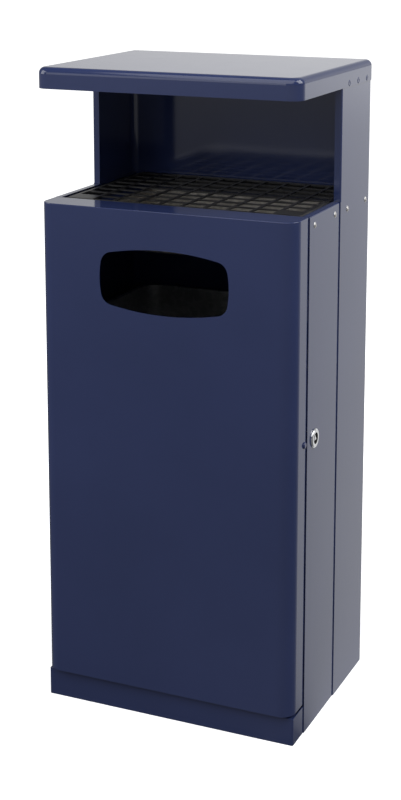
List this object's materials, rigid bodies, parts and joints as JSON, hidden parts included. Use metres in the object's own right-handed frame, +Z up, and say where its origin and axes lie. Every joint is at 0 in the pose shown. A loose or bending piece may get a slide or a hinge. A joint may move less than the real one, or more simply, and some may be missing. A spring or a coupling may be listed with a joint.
{
  "type": "outdoor waste bin",
  "caption": "Free-standing sheet-steel litter bin with a rain hood over an ash grid, a lockable hinged door with a bowed posting aperture and a removable liner.",
  "frame": {"origin": "on the floor, under the middle of the bin's box", "axes": "+Z up, -Y towards the door's front, +X towards the lock side"},
  "size_m": [0.3836, 0.3, 0.91],
  "materials": {
    "blue_paint": "glossy cobalt-blue powder coat",
    "zinc_steel": "zinc plated",
    "galvanised_sheet": "galvanised sheet",
    "grid_steel": "black powder coat, worn by ash",
    "chrome": "chrome plated"
  },
  "bodies": {
    "cabinet": {"hood": "blue_paint", "rear_column": "blue_paint", "left_side_panel": "blue_paint", "right_side_panel": "blue_paint", "plinth": "blue_paint", "floor_pan": "blue_paint", "ash_shelf": "blue_paint", "left_shelf_rivets": "zinc_steel", "right_shelf_rivets": "zinc_steel", "lower_hinge_bracket": "zinc_steel", "upper_hinge_bracket": "zinc_steel", "lower_hinge_pin": "zinc_steel", "upper_hinge_pin": "zinc_steel", "lock_nut": "zinc_steel", "lock_body": "chrome"},
    "door": {"door_shell": "blue_paint", "door_top_cap": "blue_paint", "door_bottom_cap": "blue_paint", "door_strike": "zinc_steel", "strike_rivet": "blue_paint", "lower_hinge_tab": "zinc_steel", "upper_hinge_tab": "zinc_steel"},
    "lock": {"lock_insert": "chrome", "lock_cam": "zinc_steel", "lock_cam_nut": "zinc_steel"},
    "liner": {"inner_liner": "galvanised_sheet"},
    "ash_tray": {"ash_tray": "galvanised_sheet"},
    "ash_grid": {"ash_grid": "grid_steel"}
  },
  "joints": [
    {"name": "door_swing", "type": "hinge", "parent": "cabinet", "child": "door", "pos_m": [-0.1823, -0.1144, 0.13], "axis": [0, 0, -1], "range_deg": [0, 110]},
    {"name": "lock_turn", "type": "hinge", "parent": "cabinet", "child": "lock", "pos_m": [0.17, -0.074, 0.417], "axis": [-1, 0, 0], "range_deg": [0, 90]},
    {"name": "liner_lift", "type": "slide", "parent": "cabinet", "child": "liner", "axis": [0, 0, 1], "range_m": [0, 0.045]},
    {"name": "tray_lift", "type": "slide", "parent": "cabinet", "child": "ash_tray", "axis": [0, 0, 1], "range_m": [0, 0.07]},
    {"name": "grid_lift", "type": "slide", "parent": "ash_tray", "child": "ash_grid", "axis": [0, 0, 1], "range_m": [0, 0.06]}
  ]
}
